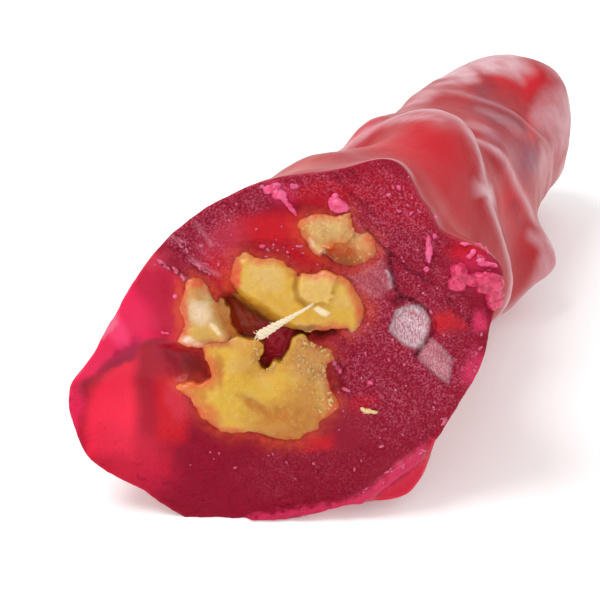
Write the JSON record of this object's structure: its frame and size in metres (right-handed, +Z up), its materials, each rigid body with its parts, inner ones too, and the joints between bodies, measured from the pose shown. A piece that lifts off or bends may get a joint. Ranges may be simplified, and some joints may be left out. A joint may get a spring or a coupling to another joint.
{
  "type": "churchkhela",
  "caption": "Length of walnut and fruit jelly sweet, lumpy red skin, slanted cut at one end showing the nuts and the cotton string",
  "frame": {"origin": "middle of the footprint on the table", "axes": "+Y runs from the cut to the closed end, +Z is up, +X is to the right when looking at the cut"},
  "size_m": [0.0434, 0.1232, 0.0377],
  "materials": {
    "jelly": "satin skin with a pale bloom, sandy dark red cut",
    "walnut": "matt, moist at the cut",
    "cotton": "matt twisted cotton"
  },
  "bodies": {
    "root": {"jelly": "jelly", "kernel_top": "walnut", "kernel_middle": "walnut", "kernel_left": "walnut", "kernel_bottom": "walnut", "string": "cotton"}
  },
  "joints": []
}
